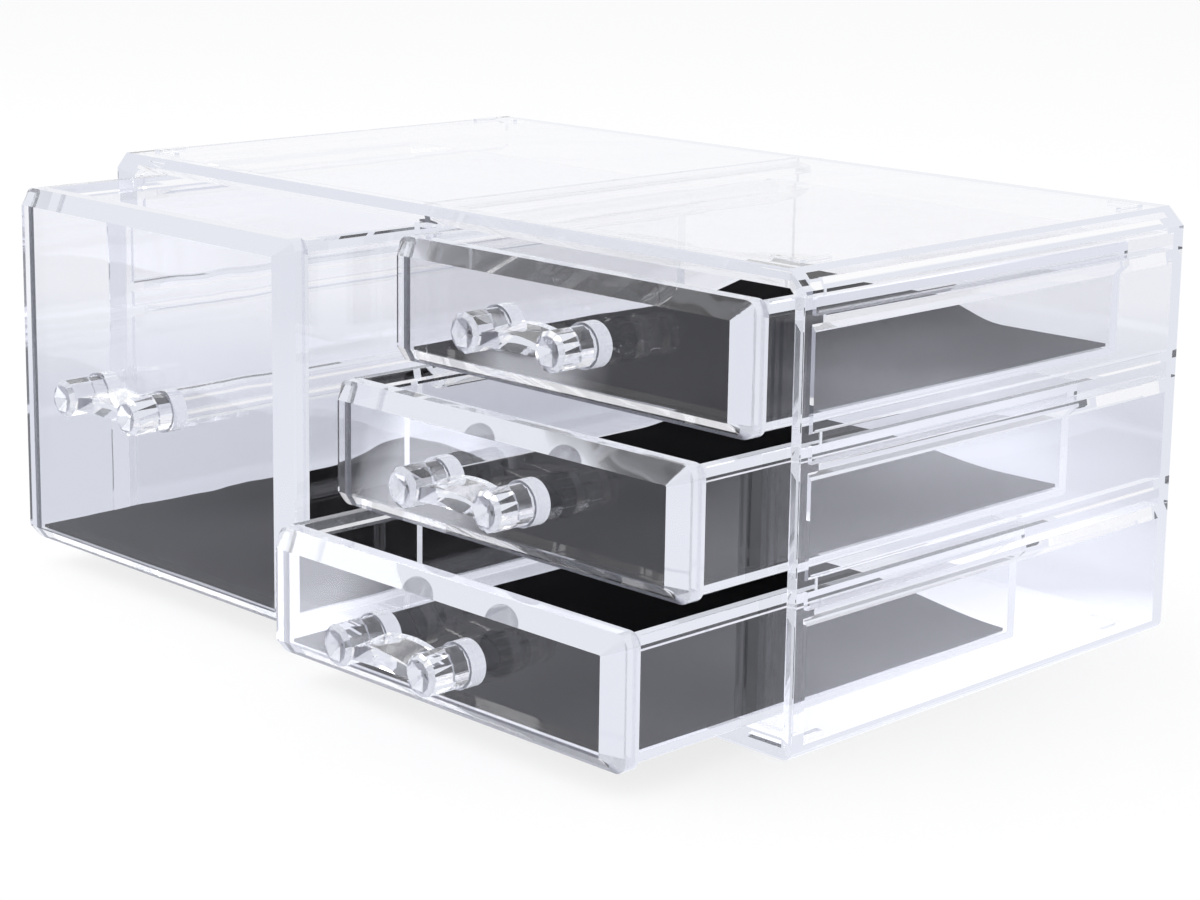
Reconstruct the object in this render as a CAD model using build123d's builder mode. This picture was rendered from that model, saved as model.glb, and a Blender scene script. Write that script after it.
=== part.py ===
from build123d import *

import os
from math import sqrt

# Clear acrylic makeup organizer: a one-piece case, open at the front, with a tall drawer on the left
# of an upright partition and three small drawers stacked on the right of it. Every drawer hangs by
# two runners between pairs of rails, and each is pulled out by its own length, as in use.
# Millimetres, +Z up. X runs from left to right as seen from the front, Y from front to back.
# The origin is the middle of the case's underside.

# Case
case_width = 240.0
case_depth = 136.0
case_height = 104.0
case_wall = 2.4
case_back_wall = 2.4
top_chamfer = 4.3
bottom_radius = 2.8
inner_bottom_radius = 0.6

# Thickened lip round the open front, whose face slopes in towards the drawers
lip_width = 4.6
lip_depth = 4.8
lip_slope_depth = 2.2
lip_land = 0.4

# L-shaped locating marks: raised on the top, sunk in the underside, so that cases stack
mark_leg = 9.0
mark_width = 1.4
mark_height = 0.6
mark_inset = 7.0
mark_clearance = 0.2

# Partition between the tall drawer and the small ones
partition_thickness = 1.9
partition_shift = 0.8

# Drawer fronts
front_thickness = 7.5
front_bevel = 3.8
front_corner_radius = 3.0
front_face_radius = 0.3
tall_front_side_gap = 3.8
small_front_side_gap = 2.8
front_bottom_gap = 2.2
front_top_gap = 1.4
front_stack_gap = 2.3
small_drawer_count = 3

# Drawer trays
tray_wall = 2.2
tray_floor = 1.8
tray_side_inset = 2.0
tray_rim_drop = 0.4
rim_bevel_width = 1.8
rim_bevel_height = 3.1
tray_base_lift = 0.7
tray_back_gap = 1.1
tray_edge_radius = 1.0

# Runners along the trays' rims, and the pairs of rails that carry them
runner_height = 3.3
rail_entry = 2.2
rail_root = 3.4
rail_tip = 0.8
guard_root = 2.6
guard_tip = 1.8
rail_grip = 1.2
rail_under_gap = 0.2
rail_over_gap = 0.5
rail_front_gap = 0.8

# Handles: two faceted posts with a round collar at the foot, joined by an arched bow
handle_spacing = 26.5
handle_reach = 14.2
collar_radius = 5.1
collar_length = 4.0
post_radius = 4.6
post_facets = 12
post_chamfer = 1.0
dish_sides = 6
dish_radius = 3.35
dish_floor_radius = 0.4
dish_depth = 1.3
bow_length = 8.6
bow_spring = -1.6
bow_thickness = 2.6
bow_rise = 3.5
bow_hollow = 3.5
bow_nose_thickness = 2.0
bow_nose_rise = 2.4
bow_nose_hollow = 0.6

# Liner mats
mat_thickness = 1.2
mat_gap = 0.6

# How far each drawer stands out of the case
tall_pull_out = 36.0
small_pull_outs = [47.9, 30.1, 12.6]

# Places that follow from the sizes above
case_front = -case_depth / 2
lip_back = case_front + lip_depth
cavity_back = case_depth / 2 - case_back_wall
cavity_left = -case_width / 2 + case_wall
cavity_right = case_width / 2 - case_wall
partition_left = partition_shift - partition_thickness / 2
partition_right = partition_shift + partition_thickness / 2
fronts_bottom = lip_width + front_bottom_gap
fronts_top = case_height - lip_width - front_top_gap
fronts_height = fronts_top - fronts_bottom
small_pitch = (fronts_height + front_stack_gap) / small_drawer_count
small_front_height = small_pitch - front_stack_gap
rail_start = case_front + front_thickness + rail_front_gap
tray_length = cavity_back - tray_back_gap - (case_front + front_thickness)

tall_front_left = cavity_left + tall_front_side_gap
tall_front_right = partition_left - tall_front_side_gap
small_front_left = partition_right + small_front_side_gap
small_front_right = cavity_right - small_front_side_gap

small_names = ["bottom", "middle", "top"]
drawers = [("tall", tall_front_left, tall_front_right, fronts_bottom, fronts_height, tall_pull_out)]
for index, (small_name, pull_out) in enumerate(zip(small_names, small_pull_outs)):
    small_bottom = fronts_bottom + index * small_pitch
    drawers.append(
        (small_name, small_front_left, small_front_right, small_bottom, small_front_height, pull_out)
    )
runner_levels = []
for _, _, _, bottom, height, _ in drawers[1:]:
    runner_levels.append(bottom + height - tray_rim_drop - runner_height)

os.makedirs("parts", exist_ok=True)


def case_section(y, inset):
    """Outline of the case across its width at y, drawn in all round by inset."""
    with BuildSketch(Plane.XZ.offset(-y)) as section:
        with Locations((0, case_height / 2)):
            Rectangle(case_width - 2 * inset, case_height - 2 * inset)
        lower_corners = section.vertices().group_by(Axis.Y)[0]
        upper_corners = section.vertices().group_by(Axis.Y)[-1]
        chamfer(upper_corners, top_chamfer - inset * (2 - sqrt(2)))
        fillet(lower_corners, max(bottom_radius - inset, inner_bottom_radius))
    return section.sketch


def corner_marks(z, growth):
    """Four L shapes, one at each corner of the case, wider all round by growth."""
    outer_x = case_width / 2 - mark_inset + growth
    outer_y = case_depth / 2 - mark_inset + growth
    leg = mark_leg + 2 * growth
    width = mark_width + 2 * growth
    with BuildSketch(Plane.XY.offset(z)) as marks:
        with BuildLine():
            Polyline(
                (outer_x, outer_y),
                (outer_x - leg, outer_y),
                (outer_x - leg, outer_y - width),
                (outer_x - width, outer_y - width),
                (outer_x - width, outer_y - leg),
                (outer_x, outer_y - leg),
                close=True,
            )
        make_face()
        mirror(about=Plane.YZ)
        mirror(about=Plane.XZ)
    return marks.sketch


def rail_pairs(wall_x, tip_x):
    """The rails that stand out from a wall: flat towards the runner, sloping behind, thick at the wall.

    In front they stand out no further than the lip, so that the drawer's front passes them.
    """
    if tip_x > wall_x:
        entry_x = wall_x + rail_entry
    else:
        entry_x = wall_x - rail_entry
    with BuildPart() as rails:
        with BuildSketch(Plane.XZ.offset(-lip_back)):
            for runner_bottom in runner_levels:
                seat = runner_bottom - rail_under_gap
                guard = runner_bottom + runner_height + rail_over_gap
                for level, root, tip in ((seat, -rail_root, -rail_tip), (guard, guard_root, guard_tip)):
                    with BuildLine():
                        Polyline(
                            (wall_x, level),
                            (tip_x, level),
                            (tip_x, level + tip),
                            (wall_x, level + root),
                            close=True,
                        )
                    make_face()
        extrude(amount=lip_back - cavity_back)
        with BuildSketch():
            with BuildLine():
                Polyline(
                    (wall_x, lip_back),
                    (entry_x, lip_back),
                    (entry_x, rail_start),
                    (tip_x, rail_start + abs(tip_x - entry_x)),
                    (tip_x, cavity_back),
                    (wall_x, cavity_back),
                    close=True,
                )
            make_face()
        extrude(amount=case_height, mode=Mode.INTERSECT)
    return rails.part


def dish_section(x, z, reach, radius):
    """Outline of a post's dished end, on the plane that lies reach in front of the origin."""
    with BuildSketch(Plane.XZ.offset(reach)) as section:
        with Locations((x, z)):
            RegularPolygon(radius, dish_sides)
    return section.sketch


def bow_section(x, z, reach, thickness, rise, hollow):
    """Arched section of the handle's bow, from post axis to post axis, hollowed from below."""
    half_span = handle_spacing / 2
    upper = z + bow_spring + thickness / 2
    lower = upper - thickness
    with BuildSketch(Plane.XZ.offset(reach)) as section:
        with BuildLine():
            ThreePointArc((x - half_span, upper), (x, upper + rise), (x + half_span, upper))
            Line((x + half_span, upper), (x + half_span, lower))
            ThreePointArc((x + half_span, lower), (x, lower + hollow), (x - half_span, lower))
            Line((x - half_span, lower), (x - half_span, upper))
        make_face()
    return section.sketch


# Case: top, bottom, sides and back in one piece, with the rails on its side walls
with BuildPart() as case_shell:
    extrude(case_section(case_front, 0), amount=-case_depth)
    extrude(case_section(lip_back, case_wall), amount=lip_back - cavity_back, mode=Mode.SUBTRACT)
    extrude(case_section(case_front, lip_width), amount=-lip_depth, mode=Mode.SUBTRACT)
    loft(
        [case_section(case_front, lip_land), case_section(case_front + lip_slope_depth, lip_width)],
        mode=Mode.SUBTRACT,
    )
    add(rail_pairs(cavity_left, tall_front_left + rail_grip))
    add(rail_pairs(cavity_right, small_front_right - rail_grip))
    extrude(corner_marks(case_height, 0), amount=mark_height)
    extrude(corner_marks(0, mark_clearance), amount=mark_height + mark_clearance, mode=Mode.SUBTRACT)
case_shell.part.label = "case_shell"
export_step(case_shell.part, "parts/case_shell.step")

# Partition: an upright plate bonded into the case, notched round the lip, with rails on both faces
with BuildPart() as partition:
    with BuildSketch(Plane.YZ.offset(partition_left)):
        with BuildLine():
            Polyline(
                (case_front, lip_width),
                (lip_back, lip_width),
                (lip_back, case_wall),
                (cavity_back, case_wall),
                (cavity_back, case_height - case_wall),
                (lip_back, case_height - case_wall),
                (lip_back, case_height - lip_width),
                (case_front, case_height - lip_width),
                close=True,
            )
        make_face()
    extrude(amount=partition_thickness)
    add(rail_pairs(partition_left, tall_front_right - rail_grip))
    add(rail_pairs(partition_right, small_front_left + rail_grip))
partition.part.label = "partition"
export_step(partition.part, "parts/partition.step")

for name, left, right, bottom, height, pull_out in drawers:
    middle_x = (left + right) / 2
    middle_z = bottom + height / 2
    face_y = case_front - pull_out
    joint_y = face_y + front_thickness
    tray_width = right - left - 2 * tray_side_inset
    tray_base = bottom + tray_base_lift
    tray_rim = bottom + height - tray_rim_drop

    # Tray: floor, two sides and back, open towards the front, with a runner along the rim of each side,
    # whose inner edge is bevelled
    with BuildPart() as tray:
        with BuildSketch(Plane.XY.offset(tray_base)):
            with Locations((middle_x, joint_y)):
                Rectangle(tray_width, tray_length, align=(Align.CENTER, Align.MIN))
        extrude(amount=tray_rim - tray_base)
        fillet(tray.edges().filter_by(Axis.Z).group_by(Axis.Y)[-1], tray_edge_radius)
        fillet(tray.faces().sort_by(Axis.Z)[0].edges().filter_by(Axis.Y), tray_edge_radius)
        with BuildSketch(Plane.XY.offset(tray_rim - runner_height)):
            with Locations((middle_x, joint_y)):
                Rectangle(right - left, tray_length - tray_edge_radius, align=(Align.CENTER, Align.MIN))
        extrude(amount=runner_height)
        inside = tray_width / 2 - tray_wall
        with BuildSketch(Plane.XZ.offset(-joint_y)):
            with BuildLine():
                Polyline(
                    (middle_x - inside, tray_base + tray_floor),
                    (middle_x + inside, tray_base + tray_floor),
                    (middle_x + inside, tray_rim - rim_bevel_height),
                    (middle_x + inside + rim_bevel_width, tray_rim),
                    (middle_x - inside - rim_bevel_width, tray_rim),
                    (middle_x - inside, tray_rim - rim_bevel_height),
                    close=True,
                )
            make_face()
        extrude(amount=tray_wall - tray_length, mode=Mode.SUBTRACT)
    tray.part.label = f"{name}_drawer_tray"
    export_step(tray.part, f"parts/{name}_drawer_tray.step")

    # Front: a thick plate with a wide bevel round its face
    with BuildPart() as front:
        with BuildSketch(Plane.XZ.offset(-face_y)):
            with Locations((middle_x, middle_z)):
                RectangleRounded(
                    right - left - 2 * front_bevel, height - 2 * front_bevel, front_face_radius
                )
        with BuildSketch(Plane.XZ.offset(-face_y - front_bevel)) as bevel_foot:
            with Locations((middle_x, middle_z)):
                RectangleRounded(right - left, height, front_corner_radius)
        loft()
        extrude(bevel_foot.sketch, amount=front_bevel - front_thickness)
    front.part.label = f"{name}_drawer_front"
    export_step(front.part, f"parts/{name}_drawer_front.step")

    # Handle: collars bonded to the front, faceted posts with a dished end, and the bow between the posts
    with BuildPart() as handle:
        with BuildSketch(Plane.XZ.offset(-face_y)):
            with Locations((middle_x, middle_z)):
                with GridLocations(handle_spacing, 0, 2, 1):
                    Circle(collar_radius)
        extrude(amount=collar_length)
        with BuildSketch(Plane.XZ.offset(-face_y + collar_length)):
            with Locations((middle_x, middle_z)):
                with GridLocations(handle_spacing, 0, 2, 1):
                    RegularPolygon(post_radius, post_facets)
        extrude(amount=handle_reach - collar_length)
        chamfer(handle.faces().sort_by(Axis.Y)[:2].edges(), post_chamfer)
        end_reach = handle_reach - face_y
        for post_x in (middle_x - handle_spacing / 2, middle_x + handle_spacing / 2):
            dish_mouth = dish_section(post_x, middle_z, end_reach, dish_radius)
            dish_floor = dish_section(post_x, middle_z, end_reach - dish_depth, dish_floor_radius)
            loft([dish_mouth, dish_floor], mode=Mode.SUBTRACT)
        root_reach = collar_length - face_y
        nose_reach = root_reach + bow_length
        bow_root = bow_section(middle_x, middle_z, root_reach, bow_thickness, bow_rise, bow_hollow)
        bow_nose = bow_section(
            middle_x, middle_z, nose_reach, bow_nose_thickness, bow_nose_rise, bow_nose_hollow
        )
        loft([bow_root, bow_nose])
    handle.part.label = f"{name}_drawer_handle"
    export_step(handle.part, f"parts/{name}_drawer_handle.step")

    # Liner mat: a thin sheet that lies loose on the tray's floor
    with BuildPart() as liner:
        with BuildSketch(Plane.XY.offset(tray_base + tray_floor)):
            with Locations((middle_x, joint_y + mat_gap)):
                Rectangle(
                    tray_width - 2 * tray_wall - 2 * mat_gap,
                    tray_length - tray_wall - 2 * mat_gap,
                    align=(Align.CENTER, Align.MIN),
                )
        extrude(amount=mat_thickness)
    liner.part.label = f"{name}_drawer_liner"
    export_step(liner.part, f"parts/{name}_drawer_liner.step")
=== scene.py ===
"""Clear acrylic makeup organizer with a tall drawer and three small drawers, each with a black liner mat.

The CAD model is loaded as the frame. The case, the partition, the trays, the drawer fronts and the handles
keep their CAD shapes and get a moulded acrylic finish. The liner mats are built here in more detail, as thin
sheets with soft waves and a curled back edge. Everything is in metres, +Z up, with the origin in the middle
of the case's underside.
"""

import logging
from collections.abc import Iterator
from dataclasses import dataclass
from enum import Enum
from math import cos, radians, sin

import bmesh
import bpy
from mathutils import Matrix, Vector, noise


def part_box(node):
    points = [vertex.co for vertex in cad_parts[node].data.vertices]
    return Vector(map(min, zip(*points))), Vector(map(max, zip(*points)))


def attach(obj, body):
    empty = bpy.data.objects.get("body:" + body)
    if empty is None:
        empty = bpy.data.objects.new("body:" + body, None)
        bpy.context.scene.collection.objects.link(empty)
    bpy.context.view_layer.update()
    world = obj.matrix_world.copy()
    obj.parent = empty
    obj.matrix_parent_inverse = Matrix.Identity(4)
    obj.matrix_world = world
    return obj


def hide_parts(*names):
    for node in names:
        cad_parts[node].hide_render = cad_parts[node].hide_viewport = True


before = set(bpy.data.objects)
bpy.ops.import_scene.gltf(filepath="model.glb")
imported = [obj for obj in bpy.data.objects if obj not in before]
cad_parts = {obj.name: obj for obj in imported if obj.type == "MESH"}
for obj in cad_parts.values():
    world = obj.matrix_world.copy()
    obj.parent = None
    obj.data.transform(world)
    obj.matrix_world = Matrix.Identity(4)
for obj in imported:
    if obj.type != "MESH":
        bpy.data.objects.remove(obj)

log = logging.getLogger("organizer")

MM = 0.001

# Headings over the floor from the object's middle, about 1 m long, along which the floor's painted window
# light, painted reflection and painted shade are laid out
TOWARD_ROOM = (0.7, -0.7, 0.0)
TOWARD_RIGHT_BACK = (0.7, 0.7, 0.0)
TOWARD_LEFT_FRONT = (-0.7, -0.7, 0.0)

# Values that smooth noise mostly stays between
NOISE_RANGE = (0.35, 0.65)


class DrawerName(Enum):
    """The four drawers, named as their CAD bodies are."""

    TALL = "tall"
    TOP = "top"
    MIDDLE = "middle"
    BOTTOM = "bottom"

    @property
    def body(self) -> str:
        """CAD body that the drawer's pieces ride on."""
        return f"{self.value}_drawer"

    def node(self, piece: str) -> str:
        """CAD node of one piece of this drawer."""
        return f"{self.value}_drawer_{piece}"


class Slot(Enum):
    """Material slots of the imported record."""

    ACRYLIC = "clear_acrylic"
    LINER = "black_liner"


def linear(hex_colour: str) -> tuple[float, float, float, float]:
    """Turns an sRGB hex colour into a linear one.

    Args:
        hex_colour: Colour as "#rrggbb".

    Returns:
        Linear red, green and blue, with an alpha of 1.
    """
    channels = [int(hex_colour[i : i + 2], 16) / 255 for i in (1, 3, 5)]
    red, green, blue = (c / 12.92 if c <= 0.04045 else ((c + 0.055) / 1.055) ** 2.4 for c in channels)
    return red, green, blue, 1.0


def add_node(
    tree: bpy.types.NodeTree,
    kind: str,
    settings: dict[str, object] | None = None,
    values: dict[str | int, object] | None = None,
    links: dict[str | int, bpy.types.NodeSocket] | None = None,
) -> bpy.types.Node:
    """Adds a node with its settings, plain inputs and links.

    Args:
        tree: Node tree that gets the node.
        kind: Node type, such as "ShaderNodeTexNoise".
        settings: Attributes of the node.
        values: Plain values by the input's name or index.
        links: Output sockets by the name or index of the input they feed.

    Returns:
        The new node.
    """
    node = tree.nodes.new(kind)
    for name, value in (settings or {}).items():
        setattr(node, name, value)
    for key, value in (values or {}).items():
        node.inputs[key].default_value = value
    for key, socket in (links or {}).items():
        tree.links.new(socket, node.inputs[key])
    return node


def empty_tree(owner: bpy.types.Material | bpy.types.World) -> bpy.types.NodeTree:
    """Turns nodes on for a material or a world and clears them."""
    owner.use_nodes = True
    owner.node_tree.nodes.clear()
    return owner.node_tree


@dataclass(frozen=True)
class MouldedAcrylic:
    """Clear acrylic (PMMA), injection moulded in polished tools.

    Attributes:
        name: Material name.
        tint: What is left of white light after one wall.
        lamp_tint: What is left of a lamp's light after one face.
        roughness: Haze of the polished faces.
        ior: Refractive index of PMMA.
        ripple_length: Length of the soft ripples that the melt's flow leaves, in metres.
        ripple_height: Depth of those ripples, in metres.
        painted_edge_glow: Colour of a painted glow, an emission that stands in for light staying inside the
            plastic and shows mostly at its edges.
        painted_glow_strength: Strength of that painted glow.
        most_mirrorings: Mirrorings inside a wall after which only the painted glow is shown.
    """

    name: str = "moulded_clear_acrylic"
    tint: str = "#fdfdfe"
    lamp_tint: str = "#fcfcfe"
    roughness: float = 0.0
    ior: float = 1.52
    ripple_length: float = 26 * MM
    ripple_height: float = 0.05 * MM
    painted_edge_glow: str = "#e9ecf5"
    painted_glow_strength: float = 0.95
    most_mirrorings: float = 2.5

    def make(self) -> bpy.types.Material:
        """Builds the material: colourless face on, with soft wavy reflections and a painted pale glow, an
        emission shown where rays stay inside a wall, mostly at the edges.

        Returns:
            The material, which lets lamps and diffuse light through.
        """
        material = bpy.data.materials.new(self.name)
        tree = empty_tree(material)
        place = add_node(tree, "ShaderNodeTexCoord")
        ripples = add_node(
            tree,
            "ShaderNodeTexNoise",
            values={"Scale": 1 / self.ripple_length, "Detail": 1.0, "Roughness": 0.4},
            links={"Vector": place.outputs["Object"]},
        )
        bump = add_node(
            tree,
            "ShaderNodeBump",
            values={"Strength": 1.0, "Distance": self.ripple_height},
            links={"Height": ripples.outputs["Fac"]},
        )
        plastic = add_node(
            tree,
            "ShaderNodeBsdfPrincipled",
            values={
                "Base Color": linear(self.tint),
                "Roughness": self.roughness,
                "IOR": self.ior,
                "Transmission Weight": 1.0,
            },
            links={"Normal": bump.outputs["Normal"]},
        )
        clear = add_node(tree, "ShaderNodeBsdfTransparent", values={"Color": linear(self.lamp_tint)})
        # Painted glow: an emission, not a lamp, shown where a ray has been mirrored inside a wall more than
        # most_mirrorings times
        glow = add_node(
            tree,
            "ShaderNodeEmission",
            values={"Color": linear(self.painted_edge_glow), "Strength": self.painted_glow_strength},
        )
        path = add_node(tree, "ShaderNodeLightPath")
        trapped = add_node(
            tree,
            "ShaderNodeMath",
            settings={"operation": "GREATER_THAN"},
            values={1: self.most_mirrorings},
            links={0: path.outputs["Glossy Depth"]},
        )
        surface = add_node(
            tree,
            "ShaderNodeMixShader",
            links={0: trapped.outputs[0], 1: plastic.outputs[0], 2: glow.outputs[0]},
        )
        for ray in ("Is Diffuse Ray", "Is Shadow Ray"):
            surface = add_node(
                tree,
                "ShaderNodeMixShader",
                links={0: path.outputs[ray], 1: surface.outputs[0], 2: clear.outputs[0]},
            )
        add_node(tree, "ShaderNodeOutputMaterial", links={"Surface": surface.outputs[0]})
        return material


@dataclass(frozen=True)
class FlockedSheet:
    """Black PVC sheet, flocked on its upper side with short upright fibres.

    Attributes:
        name: Material name.
        colour: Colour of the fibres.
        worn_colour: Colour where the fibres lie over.
        fibre_spacing: Spacing of the fibres' tufts, in metres. Single fibres, about 0.05 mm apart, are too
            fine to show.
        fibre_height: Depth of the tufts, in metres.
        stroke_length: Length of the patches in which the fibres lie over, in metres.
    """

    name: str = "flocked_black_sheet"
    colour: str = "#030102"
    worn_colour: str = "#070508"
    fibre_spacing: float = 0.6 * MM
    fibre_height: float = 0.03 * MM
    stroke_length: float = 14 * MM

    def make(self) -> bpy.types.Material:
        """Builds the material: black from above, with the faintest bloom where it is seen along the fibres.

        Returns:
            The material.
        """
        material = bpy.data.materials.new(self.name)
        tree = empty_tree(material)
        place = add_node(tree, "ShaderNodeTexCoord")
        tufts = add_node(
            tree,
            "ShaderNodeTexNoise",
            values={"Scale": 1 / self.fibre_spacing, "Detail": 2.0},
            links={"Vector": place.outputs["Object"]},
        )
        bump = add_node(
            tree,
            "ShaderNodeBump",
            values={"Strength": 0.5, "Distance": self.fibre_height},
            links={"Height": tufts.outputs["Fac"]},
        )
        strokes = add_node(
            tree,
            "ShaderNodeTexNoise",
            values={"Scale": 1 / self.stroke_length, "Detail": 4.0},
            links={"Vector": place.outputs["Object"]},
        )
        shade = add_node(
            tree,
            "ShaderNodeMix",
            settings={"data_type": "RGBA"},
            values={6: linear(self.colour), 7: linear(self.worn_colour)},
            links={0: strokes.outputs["Fac"]},
        )
        pile = add_node(
            tree,
            "ShaderNodeBsdfPrincipled",
            values={"Roughness": 0.85, "IOR": 1.5, "Specular IOR Level": 0.08},
            links={"Base Color": shade.outputs[2], "Normal": bump.outputs["Normal"]},
        )
        add_node(tree, "ShaderNodeOutputMaterial", links={"Surface": pile.outputs[0]})
        return material


@dataclass(frozen=True)
class FloorPaper:
    """White seamless studio paper, lit by a window behind on the right.

    Attributes:
        name: Material name.
        colour: Colour of the paper.
        through: Colour of it that clear plastic shows far behind the object, given as an emission.
        shaded: Painted shadow that clear plastic shows close behind the object, an emitted colour darker than
            through, standing in for the case's shade on the paper.
        shade_run: Where that painted shadow starts and is full, in metres towards the photographer.
        side_run: Where the part that gloss shows takes over, across the photographer's view.
        mirrored: Colour of the painted window light that gloss shows, an emission as of cool daylight.
        evenness: Share of plain colour that the camera and clear plastic see in it.
        brightness: Strength of that painted window light, by distance in metres towards the right and back.
        painted_dimming: Share of the painted window light that a painted shade takes out on the right.
        painted_dimming_run: Where that painted shade starts and is full across the photographer's view, in
            metres.
        painted_dimming_reach: Where it starts and is full towards the right and back, in metres.
        painted_window_streak: Added strength of a painted reflection of the window, which outer faces alone
            mirror.
        painted_streak_run: Where that painted reflection starts and ends across the photographer's view, in
            metres.
        painted_streak_reach: Where it starts and ends towards the left and front, in metres.
        painted_streak_edges: How soft its near and far edges are to either side, in metres.
        painted_spot_size: Size of the brighter and darker spots painted into that window light, in metres.
        painted_spot_levels: Strength of the darkest and the brightest painted spot.
        room_run: Where the painted dim room takes over from the painted window light, in metres towards the
            photographer.
        dim: Colour of that painted room.
    """

    name: str = "seamless_white_paper"
    colour: str = "#f6f6f6"
    through: str = "#fafbff"
    shaded: str = "#dfe2ec"
    shade_run: tuple[float, float] = (-0.40, -0.20)
    side_run: tuple[float, float] = (0.00, 0.04)
    mirrored: str = "#e9ebf6"
    evenness: float = 0.8
    brightness: tuple[tuple[float, float], ...] = (
        (-0.50, 0.55),
        (-0.30, 0.65),
        (-0.15, 0.90),
        (0.16, 1.75),
        (0.30, 2.10),
        (0.46, 1.00),
        (0.56, 0.60),
    )
    painted_dimming: float = 0.55
    painted_dimming_run: tuple[float, float] = (0.075, 0.135)
    painted_dimming_reach: tuple[float, float] = (0.18, 0.26)
    painted_window_streak: float = 7.0
    painted_streak_run: tuple[float, float] = (0.066, 0.100)
    painted_streak_reach: tuple[float, float] = (0.09, 0.40)
    painted_streak_edges: tuple[float, float] = (5 * MM, 8 * MM)
    painted_spot_size: float = 80 * MM
    painted_spot_levels: tuple[float, float] = (0.88, 1.12)
    room_run: tuple[float, float] = (0.36, 0.48)
    dim: str = "#5c6480"

    def make(self) -> bpy.types.Material:
        """Builds the material: an even white for the camera that keeps the object's shadow, and painted light
        and shade for rays that clear plastic mirrors or lets through.

        Returns:
            The material.
        """
        material = bpy.data.materials.new(self.name)
        tree = empty_tree(material)
        place = add_node(tree, "ShaderNodeTexCoord")
        path = add_node(tree, "ShaderNodeLightPath")
        paper = add_node(tree, "ShaderNodeBsdfDiffuse", values={"Color": linear(self.colour)})
        white = add_node(tree, "ShaderNodeEmission", values={"Color": linear("#ffffff")})
        # Painted light: rays that clear plastic lets through or mirrors see these emissions instead of the
        # paper's lit colour
        lights = []
        for start_colour, end_colour, run in (
            (self.through, self.shaded, self.shade_run),
            (self.mirrored, self.dim, self.room_run),
        ):
            shade = add_node(
                tree,
                "ShaderNodeMix",
                settings={"data_type": "RGBA"},
                values={6: linear(start_colour), 7: linear(end_colour)},
                links={0: self.far_along(tree, place, TOWARD_ROOM, *run)},
            )
            lights.append(add_node(tree, "ShaderNodeEmission", links={"Color": shade.outputs[2]}))
        # The first emission fades into a painted shadow close behind the object, the second is the painted
        # window light
        seen_through, painted_window_light = lights
        tree.links.new(self.gloss_level(tree, place, path), painted_window_light.inputs["Strength"])
        clear_view = add_node(
            tree,
            "ShaderNodeMixShader",
            links={
                0: self.far_along(tree, place, TOWARD_ROOM, *self.side_run),
                1: seen_through.outputs[0],
                2: painted_window_light.outputs[0],
            },
        )
        surface = paper
        for ray, light, share in (
            ("Is Camera Ray", white, self.evenness),
            ("Is Transmission Ray", clear_view, self.evenness),
            ("Is Glossy Ray", clear_view, 1.0),
        ):
            seen = add_node(
                tree,
                "ShaderNodeMath",
                settings={"operation": "MULTIPLY"},
                values={1: share},
                links={0: path.outputs[ray]},
            )
            surface = add_node(
                tree,
                "ShaderNodeMixShader",
                links={0: seen.outputs[0], 1: surface.outputs[0], 2: light.outputs[0]},
            )
        add_node(tree, "ShaderNodeOutputMaterial", links={"Surface": surface.outputs[0]})
        return material

    @staticmethod
    def far_along(
        tree: bpy.types.NodeTree,
        place: bpy.types.Node,
        heading: tuple[float, float, float],
        start: float,
        end: float,
    ) -> bpy.types.NodeSocket:
        """Adds a soft step along a heading over the floor.

        Args:
            tree: Node tree that gets the nodes.
            place: Texture Coordinate node.
            heading: Vector of the heading.
            start: Distance at which the step starts, in metres.
            end: Distance at which it ends, in metres.

        Returns:
            The output that goes from 0 to 1.
        """
        along = add_node(
            tree,
            "ShaderNodeVectorMath",
            settings={"operation": "DOT_PRODUCT"},
            values={1: heading},
            links={0: place.outputs["Object"]},
        )
        step = add_node(
            tree, "ShaderNodeMapRange", values={1: start, 2: end}, links={0: along.outputs["Value"]}
        )
        return step.outputs[0]

    def gloss_level(
        self, tree: bpy.types.NodeTree, place: bpy.types.Node, path: bpy.types.Node
    ) -> bpy.types.NodeSocket:
        """Adds the strength of the painted window light that gloss shows, with its painted spots, its painted
        shade and its painted reflection of the window.

        Args:
            tree: Node tree that gets the nodes.
            place: Texture Coordinate node.
            path: Light Path node.

        Returns:
            The output with the brightness.
        """
        peak = max(level for _, level in self.brightness)
        # Painted brighter and darker spots in the painted window light
        painted_spots = add_node(
            tree,
            "ShaderNodeTexNoise",
            values={"Scale": 1 / self.painted_spot_size, "Detail": 1.0},
            links={"Vector": place.outputs["Object"]},
        )
        (least, most), (low, high) = NOISE_RANGE, self.painted_spot_levels
        painted_spot_level = add_node(
            tree,
            "ShaderNodeMapRange",
            values={1: least, 2: most, 3: low * peak, 4: high * peak},
            links={0: painted_spots.outputs["Fac"]},
        )
        # Painted shade: takes a share of the painted window light out on the right
        painted_dimming_mask = add_node(
            tree,
            "ShaderNodeMath",
            settings={"operation": "MULTIPLY"},
            links={
                0: self.far_along(tree, place, TOWARD_ROOM, *self.painted_dimming_run),
                1: self.far_along(tree, place, TOWARD_RIGHT_BACK, *self.painted_dimming_reach),
            },
        )
        kept = add_node(
            tree,
            "ShaderNodeMath",
            settings={"operation": "MULTIPLY_ADD"},
            values={1: -self.painted_dimming, 2: 1.0},
            links={0: painted_dimming_mask.outputs[0]},
        )
        level = self.falloff(tree, place, peak)
        for factor in (painted_spot_level, kept):
            scaled = add_node(
                tree,
                "ShaderNodeMath",
                settings={"operation": "MULTIPLY"},
                links={0: level, 1: factor.outputs[0]},
            )
            level = scaled.outputs[0]
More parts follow.
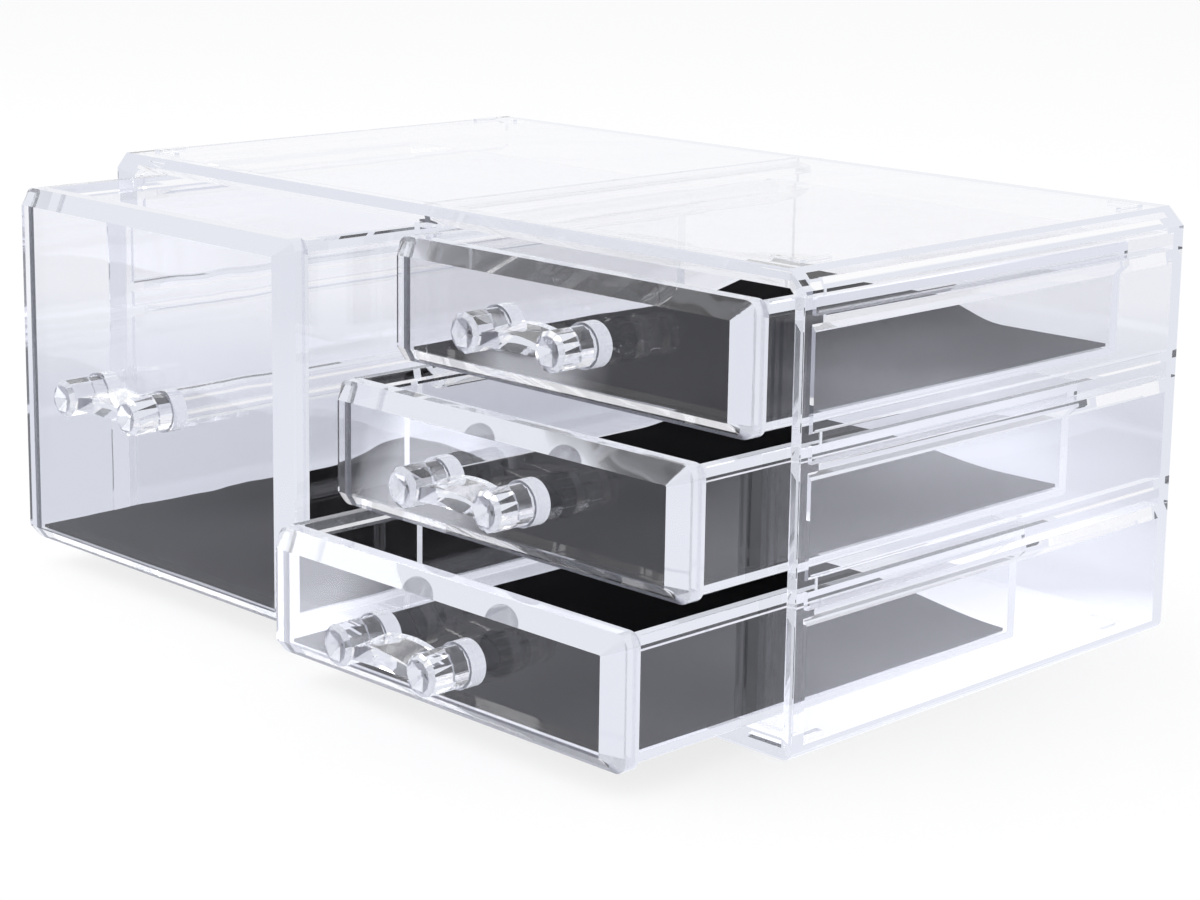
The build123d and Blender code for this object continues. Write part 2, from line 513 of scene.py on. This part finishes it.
        # Painted reflection of the window, added on top for rays mirrored by an outer face
        total = add_node(
            tree,
            "ShaderNodeMath",
            settings={"operation": "MULTIPLY_ADD"},
            values={1: self.painted_window_streak},
            links={0: self.painted_streak_share(tree, place, path), 2: level},
        )
        return total.outputs[0]

    def falloff(self, tree: bpy.types.NodeTree, place: bpy.types.Node, peak: float) -> bpy.types.NodeSocket:
        """Adds the painted window light's strength by distance towards the right and back, as a share of its
        peak.

        Args:
            tree: Node tree that gets the nodes.
            place: Texture Coordinate node.
            peak: Greatest brightness.

        Returns:
            The output with that share.
        """
        start, end = self.brightness[0][0], self.brightness[-1][0]
        along = self.far_along(tree, place, TOWARD_RIGHT_BACK, start, end)
        shares = add_node(tree, "ShaderNodeValToRGB", links={0: along})
        stops = shares.color_ramp.elements
        for distance, _ in self.brightness[1:-1]:
            stops.new((distance - start) / (end - start))
        for stop, (_, level) in zip(stops, self.brightness):
            stop.color = (level / peak, level / peak, level / peak, 1)
        return shares.outputs[0]

    def painted_streak_share(
        self, tree: bpy.types.NodeTree, place: bpy.types.Node, path: bpy.types.Node
    ) -> bpy.types.NodeSocket:
        """Adds the share of the painted reflection of the window, which only rays mirrored by an outer face
        see.

        Args:
            tree: Node tree that gets the nodes.
            place: Texture Coordinate node.
            path: Light Path node.

        Returns:
            The output that is 1 inside the painted reflection.
        """
        share = add_node(
            tree,
            "ShaderNodeMath",
            settings={"operation": "SUBTRACT"},
            links={0: path.outputs["Is Glossy Ray"], 1: path.outputs["Is Transmission Ray"]},
        )
        soft_near, soft_far = self.painted_streak_edges
        for heading, (near, far) in (
            (TOWARD_ROOM, self.painted_streak_run),
            (TOWARD_LEFT_FRONT, self.painted_streak_reach),
        ):
            inside = add_node(
                tree,
                "ShaderNodeMath",
                settings={"operation": "SUBTRACT"},
                links={
                    0: self.far_along(tree, place, heading, near - soft_near, near + soft_near),
                    1: self.far_along(tree, place, heading, far - soft_far, far + soft_far),
                },
            )
            share = add_node(
                tree,
                "ShaderNodeMath",
                settings={"operation": "MULTIPLY"},
                links={0: share.outputs[0], 1: inside.outputs[0]},
            )
        return share.outputs[0]


def finish_object(shape: bmesh.types.BMesh, name: str, material: bpy.types.Material) -> bpy.types.Object:
    """Turns a bmesh into a scene object with a material.

    Args:
        shape: Finished bmesh, which is freed.
        name: Name of the piece.
        material: Its only material.

    Returns:
        The new object, at the origin.
    """
    mesh = bpy.data.meshes.new(name)
    shape.to_mesh(mesh)
    shape.free()
    mesh.materials.append(material)
    piece = bpy.data.objects.new(name, mesh)
    bpy.context.scene.collection.objects.link(piece)
    return piece


def ease(share: float) -> float:
    """Smooth step from 0 to 1, as share goes from 0 to 1."""
    held = min(max(share, 0.0), 1.0)
    return held * held * (3 - 2 * held)


@dataclass
class LinerMat:
    """Thin mat that lies loose on a tray's floor, with a few soft waves.

    Attributes:
        drawer: Drawer that the mat lies in.
        curl_height: How far the back edge curls up on the left, in metres.
        curl_start: Where the curl starts along the back edge, from the right, in metres.
        curl_run: Width over which it rises, in metres.
        thickness: Thickness of the sheet, in metres.
        wave_length: Length of its waves, in metres.
        wave_height: How far a wave's crest lifts off the tray, in metres.
        curl_depth: How far in from the back edge the curl reaches, in metres.
        cell: Size of a mesh cell, in metres.
        crease: Angle past which an edge is drawn sharp, in degrees.
        seed: Shift of the wave pattern, so that no two mats are alike.
    """

    drawer: DrawerName
    curl_height: float
    curl_start: float
    curl_run: float
    thickness: float = 0.7 * MM
    wave_length: float = 34 * MM
    wave_height: float = 0.5 * MM
    curl_depth: float = 34 * MM
    cell: float = 2.5 * MM
    crease: float = 50.0
    seed: float = 0.0

    def lift(self, from_right: float, from_back: float) -> float:
        """Height of the mat's underside above the tray.

        Args:
            from_right: Distance from the mat's right edge, in metres.
            from_back: Distance from its back edge, in metres.

        Returns:
            The height, in metres.
        """
        place = Vector((from_right / self.wave_length, from_back / self.wave_length, self.seed))
        wave = self.wave_height * (0.5 + 0.5 * noise.noise(place))
        across = ease((from_right - self.curl_start) / self.curl_run)
        along = ease(1 - from_back / self.curl_depth)
        return wave + self.curl_height * across * along

    def build(self, material: bpy.types.Material) -> bpy.types.Object:
        """Builds the mat in the place of its CAD solid.

        Args:
            material: Finish of the sheet.

        Returns:
            The mat.
        """
        low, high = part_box(self.drawer.node("liner"))
        width, length = high.x - low.x, high.y - low.y
        sheet = bmesh.new()
        bmesh.ops.create_grid(
            sheet, x_segments=round(width / self.cell), y_segments=round(length / self.cell), size=0.5
        )
        bmesh.ops.scale(sheet, vec=(width, length, 1), verts=sheet.verts)
        bmesh.ops.translate(sheet, vec=((low.x + high.x) / 2, (low.y + high.y) / 2, low.z), verts=sheet.verts)
        for vert in sheet.verts:
            vert.co.z += self.lift(high.x - vert.co.x, high.y - vert.co.y)
        top = bmesh.ops.extrude_face_region(sheet, geom=sheet.faces[:])
        raised = [part for part in top["geom"] if isinstance(part, bmesh.types.BMVert)]
        bmesh.ops.translate(sheet, vec=(0, 0, self.thickness), verts=raised)
        bmesh.ops.recalc_face_normals(sheet, faces=sheet.faces)
        for face in sheet.faces:
            face.smooth = True
        for edge in sheet.edges:
            if len(edge.link_faces) == 2 and edge.calc_face_angle(0) > radians(self.crease):
                edge.smooth = False
        mat = finish_object(sheet, f"{self.drawer.value}_liner_mat", material)
        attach(mat, self.drawer.body)
        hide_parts(self.drawer.node("liner"))
        self.drawer.node("tray")
        return mat


@dataclass
class Drawer:
    """One drawer: tray, front, handle and liner mat.

    Attributes:
        name: Which drawer it is.
        mat: Its liner mat.
    """

    name: DrawerName
    mat: LinerMat

    def build(self, finishes: dict[str, bpy.types.Material], flock: bpy.types.Material) -> Iterator[str]:
        """Builds the mat and gives the CAD pieces their finish.

        Args:
            finishes: Finish of the tray, the front and the handle.
            flock: Finish of the liner mat.

        Yields:
            The name of each piece.
        """
        for piece, finish in finishes.items():
            dress_node(self.name.node(piece), finish)
            yield self.name.node(piece)
        yield self.mat.build(flock).name


def dress_node(node: str, material: bpy.types.Material) -> None:
    """Gives every material slot of a CAD node one material.

    Args:
        node: Name of the CAD node.
        material: Its new finish.
    """
    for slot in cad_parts[node].material_slots:
        slot.material = material


@dataclass(frozen=True)
class Softbox:
    """Soft square lamp that points at the object.

    Attributes:
        name: Name of the lamp.
        place: Its place, in metres.
        size: Side of its face, in metres.
        power: Its power, in watts.
    """

    name: str
    place: tuple[float, float, float]
    size: float
    power: float

    def hang(self) -> None:
        """Adds the lamp to the scene."""
        lamp = bpy.data.lights.new(self.name, "AREA")
        lamp.energy = self.power
        lamp.size = self.size
        holder = bpy.data.objects.new(self.name, lamp)
        holder.location = self.place
        holder.rotation_mode = "QUATERNION"
        holder.rotation_quaternion = Vector(self.place).to_track_quat("Z", "Y")
        bpy.context.scene.collection.objects.link(holder)


@dataclass
class Studio:
    """White studio: paper floor, plain sky, soft lamps and the camera.

    Attributes:
        floor_size: Side of the paper, in metres.
        floor_drop: How far the paper lies under the case, in metres, so that the two faces stay apart.
        focal_length: Lens of the camera, in pixels of the frame.
        frame_width: Width of the frame, in pixels.
        sensor_width: Width of the camera's sensor, in millimetres.
        shift: Vertical shift of the lens, in image widths.
        place: Camera's place, in millimetres.
        turn: Heading, to the left of +Y, in degrees.
        tilt: Downward tilt, in degrees.
        roll: Roll, in degrees.
        room: Direction of the dim room, on the photographer's side.
        room_steps: Colours of the sky, by how closely it lies in that direction.
        clip: Nearest and farthest distance that the camera sees, in metres.
    """

    floor_size: float = 12.0
    floor_drop: float = 0.1 * MM
    focal_length: float = 2638.2
    frame_width: int = 1200
    sensor_width: float = 36.0
    shift: float = -0.1
    place: tuple[float, float, float] = (460.5, -464.9, 194.4)
    turn: float = 45.15
    tilt: float = 11.18
    roll: float = 0.84
    room: tuple[float, float, float] = (0.62, -0.62, 0.48)
    room_steps: tuple[tuple[float, str], ...] = ((0.62, "#ffffff"), (0.80, "#c3c7d4"), (0.96, "#4c5268"))
    clip: tuple[float, float] = (0.05, 50.0)

    def build(self) -> None:
        """Builds the floor, the sky, the lamps and the camera."""
        self.add_floor()
        self.add_sky()
        self.add_lamps()
        self.add_camera()

    def add_floor(self) -> None:
        """Lays the white paper just under the case."""
        sheet = bmesh.new()
        bmesh.ops.create_grid(sheet, x_segments=1, y_segments=1, size=self.floor_size / 2)
        bmesh.ops.translate(sheet, vec=(0, 0, -self.floor_drop), verts=sheet.verts)
        finish_object(sheet, "studio_floor", FloorPaper().make())

    def add_sky(self) -> None:
        """Makes the sky: plain white for the camera, and for the rest white with the dim room in front."""
        world = bpy.data.worlds.new("studio_sky")
        bpy.context.scene.world = world
        tree = empty_tree(world)
        place = add_node(tree, "ShaderNodeTexCoord")
        facing = add_node(
            tree,
            "ShaderNodeVectorMath",
            settings={"operation": "DOT_PRODUCT"},
            values={1: Vector(self.room).normalized()},
            links={0: place.outputs["Generated"]},
        )
        room = add_node(tree, "ShaderNodeValToRGB", links={0: facing.outputs["Value"]})
        stops = room.color_ramp.elements
        for position, _ in self.room_steps[1:-1]:
            stops.new(position)
        for stop, (position, colour) in zip(stops, self.room_steps):
            stop.position, stop.color = position, linear(colour)
        studio = add_node(tree, "ShaderNodeBackground", links={"Color": room.outputs[0]})
        white = add_node(tree, "ShaderNodeBackground", values={"Color": linear("#ffffff")})
        path = add_node(tree, "ShaderNodeLightPath")
        both = add_node(
            tree,
            "ShaderNodeMixShader",
            links={0: path.outputs["Is Camera Ray"], 1: studio.outputs[0], 2: white.outputs[0]},
        )
        add_node(tree, "ShaderNodeOutputWorld", links={"Surface": both.outputs[0]})

    def add_lamps(self) -> None:
        """Hangs two large soft lamps, above and to the left."""
        Softbox("overhead_softbox", place=(-0.2, 0.1, 1.3), size=1.0, power=6.0).hang()
        Softbox("left_softbox", place=(-1.2, -0.9, 0.8), size=0.7, power=5.0).hang()

    def add_camera(self) -> None:
        """Sets the camera up at the photograph's place."""
        data = bpy.data.cameras.new("studio_camera")
        data.sensor_width = self.sensor_width
        data.lens = self.focal_length * self.sensor_width / self.frame_width
        data.shift_y = self.shift
        data.clip_start, data.clip_end = self.clip
        turn, tilt, roll = radians(self.turn), radians(self.tilt), radians(self.roll)
        forward = Vector((-sin(turn) * cos(tilt), cos(turn) * cos(tilt), -sin(tilt)))
        level_right = Vector((cos(turn), sin(turn), 0))
        level_up = level_right.cross(forward)
        right = level_right * cos(roll) + level_up * sin(roll)
        up = level_up * cos(roll) - level_right * sin(roll)
        camera = bpy.data.objects.new("studio_camera", data)
        turned = Matrix((right, up, -forward)).transposed().to_4x4()
        camera.matrix_world = Matrix.Translation(Vector(self.place) * MM) @ turned
        bpy.context.scene.collection.objects.link(camera)
        bpy.context.scene.camera = camera


def set_light_paths() -> None:
    """Sets plain colour output, and lets light cross all the clear walls that can lie behind each other."""
    scene = bpy.context.scene
    scene.view_settings.view_transform = "Standard"
    scene.cycles.max_bounces = 32
    scene.cycles.transmission_bounces = 32
    scene.cycles.glossy_bounces = 16
    scene.cycles.transparent_max_bounces = 48


def main() -> None:
    """Builds the studio and the organizer."""
    logging.basicConfig(level=logging.INFO, format="%(name)s: %(message)s")
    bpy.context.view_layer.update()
    set_light_paths()
    Studio().build()
    walls = MouldedAcrylic().make()
    plates = MouldedAcrylic(name="moulded_thick_acrylic", ripple_height=0.17 * MM, roughness=0.02).make()
    posts = MouldedAcrylic(name="moulded_handle_acrylic", most_mirrorings=4.5).make()
    flock = FlockedSheet().make()
    finishes = {"tray": walls, "front": plates, "handle": posts}
    for node in ("case_shell", "partition"):
        dress_node(node, walls)
        log.info("%s", node)
    for mat in (
        LinerMat(DrawerName.TALL, curl_height=4.5 * MM, curl_start=40 * MM, curl_run=40 * MM, seed=0.4),
        LinerMat(DrawerName.TOP, curl_height=4.6 * MM, curl_start=30 * MM, curl_run=22 * MM, seed=3.7),
        LinerMat(DrawerName.MIDDLE, curl_height=3.2 * MM, curl_start=16 * MM, curl_run=40 * MM, seed=7.1),
        LinerMat(DrawerName.BOTTOM, curl_height=4.2 * MM, curl_start=0.0, curl_run=46 * MM, seed=9.9),
    ):
        for piece in Drawer(mat.drawer, mat).build(finishes, flock):
            log.info("%s", piece)


if __name__ == "__main__":
    main()
